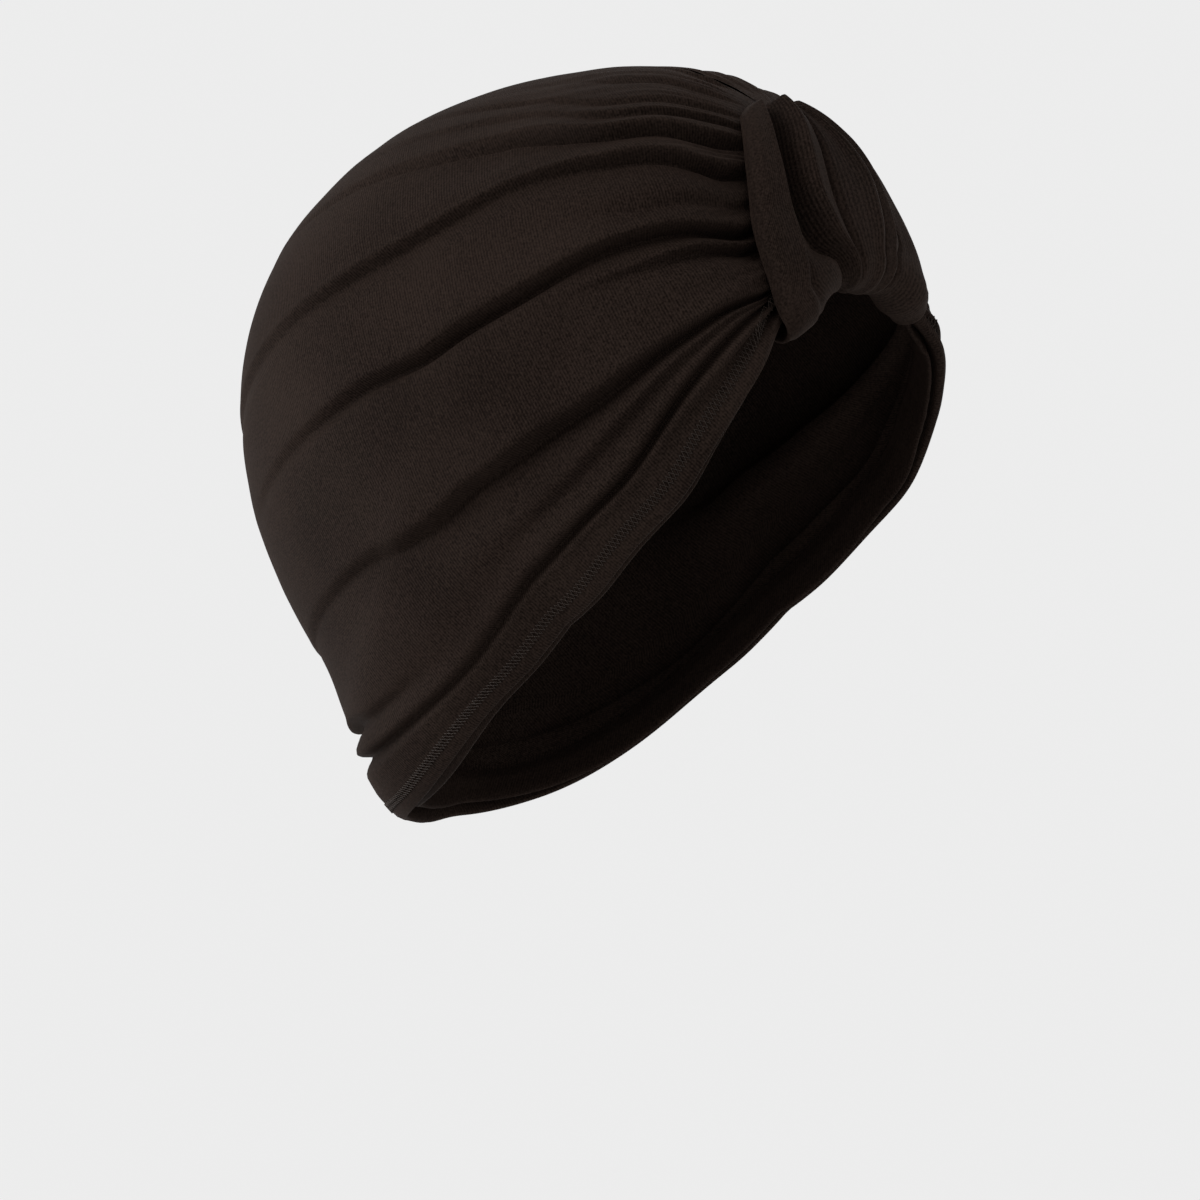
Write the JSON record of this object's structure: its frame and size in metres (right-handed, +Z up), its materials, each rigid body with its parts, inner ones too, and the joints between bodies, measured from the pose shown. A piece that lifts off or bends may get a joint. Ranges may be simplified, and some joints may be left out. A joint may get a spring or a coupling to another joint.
{
  "type": "turban headwrap",
  "caption": "Knotted turban headwrap of fine dark jersey, gathered at the front under a folded loop, shaped as worn on a head.",
  "frame": {"origin": "on the inside of the crown in the middle plane, where it rests on the top of the wearer's head", "axes": "+Z up, the wearer looks along -Y, +X towards the wearer's left"},
  "size_m": [0.1592, 0.191, 0.2088],
  "materials": {
    "crown_jersey": "fine matt jersey with a soft sheen on the ridges",
    "band_jersey": "fine matt jersey, a single inner layer",
    "loop_jersey": "fine matt jersey, lengthwise wale lines"
  },
  "bodies": {
    "root": {"crown_wrap": "crown_jersey", "inner_band": "band_jersey", "knot_loop": "loop_jersey"}
  },
  "joints": []
}
